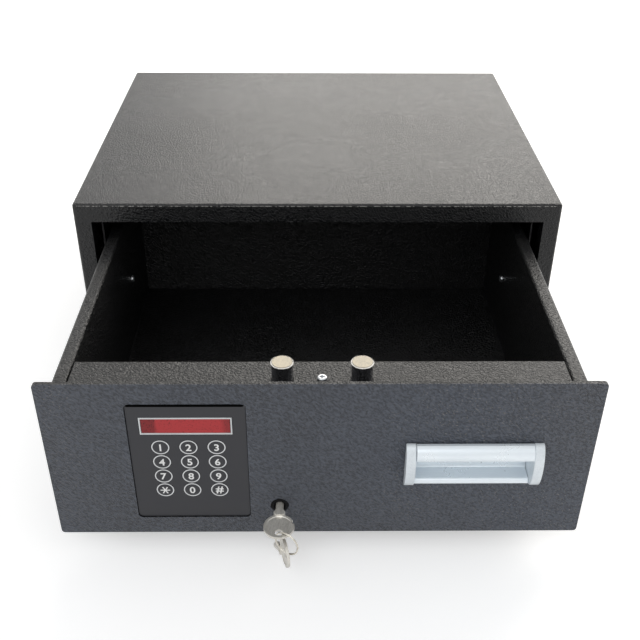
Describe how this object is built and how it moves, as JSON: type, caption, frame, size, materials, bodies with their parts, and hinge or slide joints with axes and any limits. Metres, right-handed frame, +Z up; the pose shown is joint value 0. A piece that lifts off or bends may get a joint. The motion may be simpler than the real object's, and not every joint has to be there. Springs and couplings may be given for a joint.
{
  "type": "under desk drawer safe",
  "caption": "Low steel safe with a drawer on telescopic ball slides, keypad, recessed pull handle, override key and two lifting bolts.",
  "frame": {"origin": "middle of the underside of the cabinet, on the plane it stands on", "axes": "+Z up, -Y is the way the drawer opens, +X to the right seen from the front"},
  "size_m": [0.4, 0.5777, 0.17],
  "materials": {
    "cabinet_coat": "textured dark grey powder coat",
    "drawer_coat": "textured charcoal powder coat",
    "zinc_steel": "bright zinc plating",
    "gear_brass": "drawn brass",
    "black_plastic": "moulded black plastic",
    "battery_wrap": "printed sleeve",
    "bolt_chrome": "polished chrome plating",
    "panel_plastic": "satin charcoal plastic",
    "key_rubber": "satin charcoal key pads",
    "bezel_plastic": "light grey plastic",
    "display_red": "dark red acrylic",
    "board_green": "green lacquered board",
    "handle_aluminium": "satin silver",
    "handle_cap_metal": "matt silver",
    "lock_black": "black plating",
    "key_nickel": "brushed nickel plating"
  },
  "bodies": {
    "cabinet": {"cabinet_shell": "cabinet_coat", "cabinet_back": "cabinet_coat", "spacer_left": "cabinet_coat", "spacer_right": "cabinet_coat", "slide_outer_left": "zinc_steel", "slide_outer_right": "zinc_steel"},
    "outer_cages": {"cage_outer_left": "gear_brass", "cage_outer_right": "gear_brass"},
    "middle_slides": {"slide_middle_left": "zinc_steel", "slide_middle_right": "zinc_steel"},
    "inner_cages": {"cage_inner_left": "gear_brass", "cage_inner_right": "gear_brass"},
    "bolts": {"bolt_left": "bolt_chrome", "bolt_right": "bolt_chrome", "bolt_bar": "zinc_steel"},
    "pinion": {"drive_pinion": "gear_brass"},
    "key": {"lock_plug": "lock_black", "lock_cam": "zinc_steel", "lock_key": "key_nickel"},
    "ring": {"key_ring": "bolt_chrome"},
    "spare": {"spare_key": "key_nickel"},
    "button_1": {"key_1": "key_rubber"},
    "button_2": {"key_2": "key_rubber"},
    "button_3": {"key_3": "key_rubber"},
    "button_4": {"key_4": "key_rubber"},
    "button_5": {"key_5": "key_rubber"},
    "button_6": {"key_6": "key_rubber"},
    "button_7": {"key_7": "key_rubber"},
    "button_8": {"key_8": "key_rubber"},
    "button_9": {"key_9": "key_rubber"},
    "button_star": {"key_star": "key_rubber"},
    "button_0": {"key_0": "key_rubber"},
    "button_hash": {"key_hash": "key_rubber"},
    "drawer": {"slide_inner_left": "zinc_steel", "slide_inner_right": "zinc_steel", "drawer_tray": "drawer_coat", "tray_back": "drawer_coat", "tray_screw_front_left": "zinc_steel", "tray_screw_rear_left": "zinc_steel", "tray_screw_front_right": "zinc_steel", "tray_screw_rear_right": "zinc_steel", "front_plate": "drawer_coat", "lock_housing": "drawer_coat", "housing_screw": "zinc_steel", "battery_cover": "drawer_coat", "battery_holder": "black_plastic", "battery_1": "battery_wrap", "battery_2": "battery_wrap", "battery_3": "battery_wrap", "battery_4": "battery_wrap", "bolt_guide": "zinc_steel", "motor": "zinc_steel", "keypad_frame": "panel_plastic", "display_bezel": "bezel_plastic", "display_window": "display_red", "circuit_board": "board_green", "handle_body": "handle_aluminium", "handle_cap_left": "handle_cap_metal", "handle_cap_right": "handle_cap_metal", "lock_cylinder": "lock_black"}
  },
  "joints": [
    {"name": "drawer_slide", "type": "slide", "parent": "cabinet", "child": "drawer", "axis": [0, -1, 0], "range_m": [-0.213, 0.087]},
    {"name": "middle_slide", "type": "slide", "parent": "cabinet", "child": "middle_slides", "axis": [0, -1, 0], "range_m": [-0.1065, 0.0435]},
    {"name": "outer_cage_roll", "type": "slide", "parent": "cabinet", "child": "outer_cages", "axis": [0, -1, 0], "range_m": [-0.05325, 0.02175]},
    {"name": "inner_cage_roll", "type": "slide", "parent": "cabinet", "child": "inner_cages", "axis": [0, -1, 0], "range_m": [-0.15975, 0.06525]},
    {"name": "bolt_lift", "type": "slide", "parent": "drawer", "child": "bolts", "axis": [0, 0, 1], "range_m": [0, 0.009]},
    {"name": "pinion_turn", "type": "hinge", "parent": "drawer", "child": "pinion", "pos_m": [0.0155, -0.3475, 0.0652], "axis": [0, 1, 0], "range_deg": [0, 70]},
    {"name": "key_turn", "type": "hinge", "parent": "drawer", "child": "key", "pos_m": [-0.0279, -0.3979, 0.0451], "axis": [0, -1, 0], "range_deg": [-90, 0]},
    {"name": "ring_swing", "type": "hinge", "parent": "key", "child": "ring", "pos_m": [-0.0279, -0.4036, 0.0451], "axis": [0, 0, 1], "range_deg": [-15, 15]},
    {"name": "spare_swing", "type": "hinge", "parent": "ring", "child": "spare", "pos_m": [-0.02281, -0.40678, 0.02886], "axis": [0.9613, 0.2756, 0], "range_deg": [-20, 0]},
    {"name": "press_1", "type": "slide", "parent": "drawer", "child": "button_1", "axis": [0, 1, 0], "range_m": [0, 0.0005], "stiffness_N_per_m": 600},
    {"name": "press_2", "type": "slide", "parent": "drawer", "child": "button_2", "axis": [0, 1, 0], "range_m": [0, 0.0005], "stiffness_N_per_m": 600},
    {"name": "press_3", "type": "slide", "parent": "drawer", "child": "button_3", "axis": [0, 1, 0], "range_m": [0, 0.0005], "stiffness_N_per_m": 600},
    {"name": "press_4", "type": "slide", "parent": "drawer", "child": "button_4", "axis": [0, 1, 0], "range_m": [0, 0.0005], "stiffness_N_per_m": 600},
    {"name": "press_5", "type": "slide", "parent": "drawer", "child": "button_5", "axis": [0, 1, 0], "range_m": [0, 0.0005], "stiffness_N_per_m": 600},
    {"name": "press_6", "type": "slide", "parent": "drawer", "child": "button_6", "axis": [0, 1, 0], "range_m": [0, 0.0005], "stiffness_N_per_m": 600},
    {"name": "press_7", "type": "slide", "parent": "drawer", "child": "button_7", "axis": [0, 1, 0], "range_m": [0, 0.0005], "stiffness_N_per_m": 600},
    {"name": "press_8", "type": "slide", "parent": "drawer", "child": "button_8", "axis": [0, 1, 0], "range_m": [0, 0.0005], "stiffness_N_per_m": 600},
    {"name": "press_9", "type": "slide", "parent": "drawer", "child": "button_9", "axis": [0, 1, 0], "range_m": [0, 0.0005], "stiffness_N_per_m": 600},
    {"name": "press_star", "type": "slide", "parent": "drawer", "child": "button_star", "axis": [0, 1, 0], "range_m": [0, 0.0005], "stiffness_N_per_m": 600},
    {"name": "press_0", "type": "slide", "parent": "drawer", "child": "button_0", "axis": [0, 1, 0], "range_m": [0, 0.0005], "stiffness_N_per_m": 600},
    {"name": "press_hash", "type": "slide", "parent": "drawer", "child": "button_hash", "axis": [0, 1, 0], "range_m": [0, 0.0005], "stiffness_N_per_m": 600}
  ],
  "couplings": [
    {"joint": "middle_slide", "follows": "drawer_slide", "ratio": 0.5},
    {"joint": "outer_cage_roll", "follows": "drawer_slide", "ratio": 0.25},
    {"joint": "inner_cage_roll", "follows": "drawer_slide", "ratio": 0.75},
    {"joint": "pinion_turn", "follows": "bolt_lift", "rad_per_m": 133.33}
  ]
}
